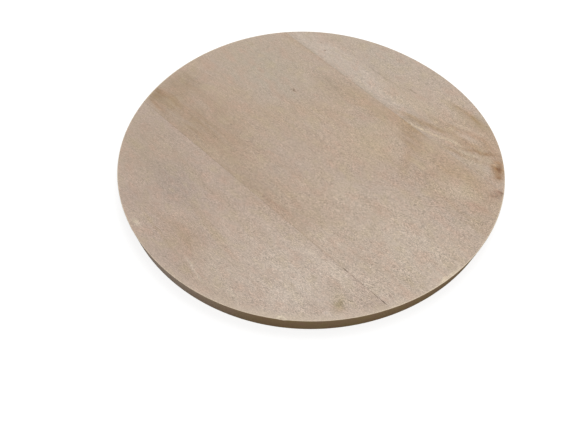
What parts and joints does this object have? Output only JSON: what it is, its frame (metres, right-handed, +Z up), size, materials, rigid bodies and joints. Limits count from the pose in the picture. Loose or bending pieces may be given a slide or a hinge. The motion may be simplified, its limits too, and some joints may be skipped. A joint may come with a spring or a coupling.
{
  "type": "round chopping board",
  "caption": "Round wooden chopping board, edge-glued from straight planks and sawn round by hand with an undercut rim, and with one glue joint drawn open at the rim.",
  "frame": {"origin": "centre of the round underside, on the surface that the board lies on", "axes": "+Z up, from the underside to the cutting face; +X along the grain; +Y across the planks, from the front plank to the back plank"},
  "size_m": [0.3475, 0.3497, 0.019],
  "materials": {
    "front_plank_wood": "sanded, lightly oiled",
    "middle_plank_wood": "sanded, lightly oiled",
    "back_plank_wood": "sanded, lightly oiled",
    "glue": "cured wood glue, sanded flush"
  },
  "bodies": {
    "root": {"front_plank": "front_plank_wood", "middle_plank": "middle_plank_wood", "back_plank": "back_plank_wood", "front_glue_line": "glue", "back_glue_line": "glue"}
  },
  "joints": []
}
